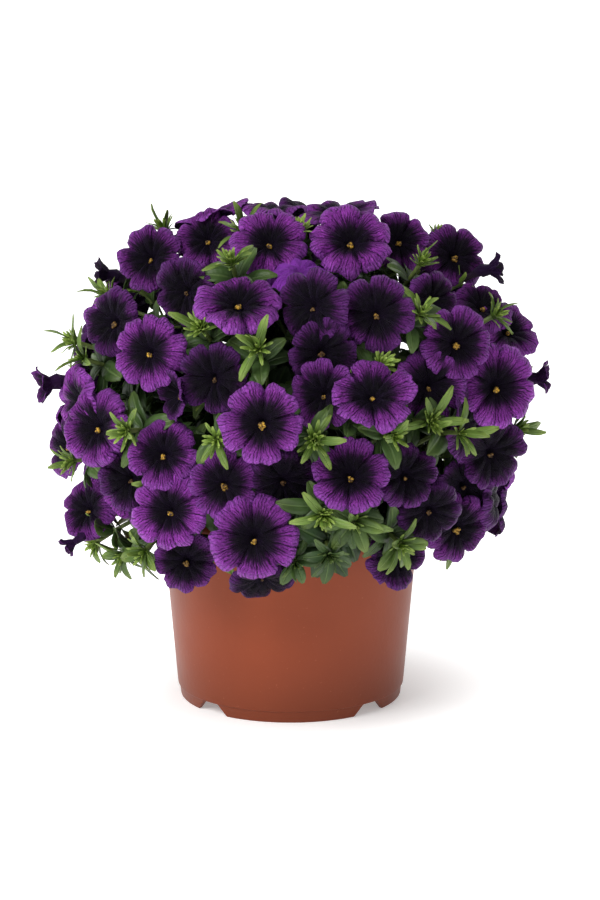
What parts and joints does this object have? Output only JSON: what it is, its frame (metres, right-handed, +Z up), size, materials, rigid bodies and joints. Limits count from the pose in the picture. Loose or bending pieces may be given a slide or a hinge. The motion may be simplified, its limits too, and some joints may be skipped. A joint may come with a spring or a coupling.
{
  "type": "potted calibrachoa",
  "caption": "Calibrachoa in a round plastic grower's pot: a rounded mound of five-lobed purple trumpet blooms on leafy stems that stand in compost.",
  "frame": {"origin": "on the table under the middle of the pot's foot ring", "axes": "+Z up along the pot's axis, -Y towards the front of the plant, +X to its right"},
  "size_m": [0.243, 0.2369, 0.238],
  "materials": {
    "pot": "satin thermoformed plastic, terracotta brown",
    "compost": "dark damp peat compost, crumbly",
    "foliage": "matte hairy leaves, mid green with paler yellow-green tips",
    "blooms": "velvety petals, purple with fine dark veins and a near-black throat"
  },
  "bodies": {
    "root": {"pot": "pot", "compost": "compost", "stem_01": "foliage", "stem_02": "foliage", "stem_03": "foliage", "stem_04": "foliage", "stem_05": "foliage", "stem_06": "foliage", "stem_07": "foliage", "stem_08": "foliage", "stem_09": "foliage", "stem_10": "foliage", "stem_11": "foliage", "stem_12": "foliage", "blooms_01": "blooms", "blooms_02": "blooms", "blooms_03": "blooms", "blooms_04": "blooms", "blooms_05": "blooms", "blooms_06": "blooms", "blooms_07": "blooms", "blooms_08": "blooms", "blooms_09": "blooms", "blooms_10": "blooms", "blooms_11": "blooms", "blooms_12": "blooms", "blooms_13": "blooms", "blooms_14": "blooms", "blooms_15": "blooms", "blooms_16": "blooms", "blooms_17": "blooms", "blooms_18": "blooms", "blooms_19": "blooms", "blooms_20": "blooms", "blooms_21": "blooms", "blooms_22": "blooms", "blooms_23": "blooms", "blooms_24": "blooms", "blooms_25": "blooms", "blooms_26": "blooms", "blooms_27": "blooms", "blooms_28": "blooms", "blooms_29": "blooms", "blooms_30": "blooms", "blooms_31": "blooms", "blooms_32": "blooms", "blooms_33": "blooms", "blooms_34": "blooms", "blooms_35": "blooms", "blooms_36": "blooms", "blooms_37": "blooms", "blooms_38": "blooms", "blooms_39": "blooms", "blooms_40": "blooms", "blooms_41": "blooms", "blooms_42": "blooms", "blooms_43": "blooms", "blooms_44": "blooms", "blooms_45": "blooms"}
  },
  "joints": []
}
